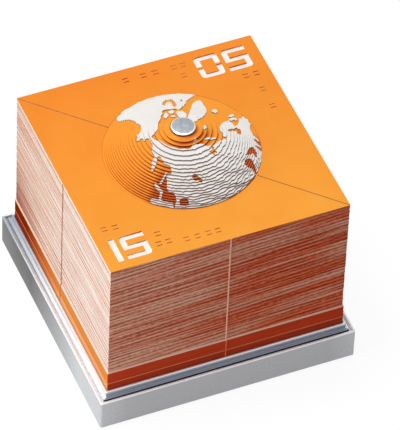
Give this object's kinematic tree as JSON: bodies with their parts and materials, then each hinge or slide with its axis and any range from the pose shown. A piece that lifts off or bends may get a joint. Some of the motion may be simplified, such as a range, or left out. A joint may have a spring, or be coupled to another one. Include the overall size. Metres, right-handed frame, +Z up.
{
  "type": "desk memo block",
  "caption": "Square desk memo block of half-sheets cut round a stepped paper globe that turns on a post, set in a low silver stand.",
  "frame": {"origin": "middle of the square table area under the feet", "axes": "+X along the front edge, +Y to the back, +Z up along the globe's post"},
  "size_m": [0.1088, 0.1088, 0.0988],
  "materials": {
    "silver_shell": "satin silver",
    "grey_plastic": "matte",
    "steel": "plated",
    "rubber": "matte",
    "board": "coated",
    "liner_paper": "uncoated",
    "pack_paper": "uncoated, printed",
    "white_paper": "uncoated",
    "orange_paper": "uncoated, printed",
    "glue": "padding glue",
    "white_plastic": "matte",
    "cap_metal": "satin"
  },
  "bodies": {
    "stand": {"stand_frame": "silver_shell", "pad_tray": "silver_shell", "base_plate": "grey_plastic", "base_screws": "steel", "rubber_feet": "rubber"},
    "pad": {"lower_board": "board", "upper_board": "board", "liner_sheet": "liner_paper", "front_pack_1": "pack_paper", "front_pack_2": "pack_paper", "front_pack_3": "pack_paper", "front_pack_4": "pack_paper", "front_pack_5": "pack_paper", "rear_pack_1": "pack_paper", "rear_pack_2": "pack_paper", "rear_pack_3": "pack_paper", "rear_pack_4": "pack_paper", "rear_pack_5": "pack_paper", "front_white_sheet": "white_paper", "rear_white_sheet": "white_paper", "front_glue_bead": "glue", "left_glue_bead": "glue", "rear_glue_bead": "glue", "right_glue_bead": "glue", "spindle_post": "steel", "thrust_washer": "white_plastic", "pole_cap": "cap_metal"},
    "globe": {"globe_bush": "white_plastic", "globe_lower_layers": "orange_paper", "globe_middle_layers": "orange_paper", "globe_sea_layers": "orange_paper", "globe_land_layers": "white_paper"},
    "front_cover": {"front_cover_sheet": "orange_paper"},
    "rear_cover": {"rear_cover_sheet": "orange_paper"}
  },
  "joints": [
    {"name": "pad_lift", "type": "slide", "parent": "stand", "child": "pad", "axis": [0, 0, 1], "range_m": [0, 0.03]},
    {"name": "globe_spin", "type": "hinge", "parent": "pad", "child": "globe", "pos_m": [0, 0, 0.06], "axis": [0, 0, 1], "continuous": true},
    {"name": "front_cover_pull", "type": "slide", "parent": "pad", "child": "front_cover", "axis": [-0.7071, -0.7071, 0], "range_m": [0, 0.05]},
    {"name": "rear_cover_pull", "type": "slide", "parent": "pad", "child": "rear_cover", "axis": [0.7071, 0.7071, 0], "range_m": [0, 0.05]}
  ]
}
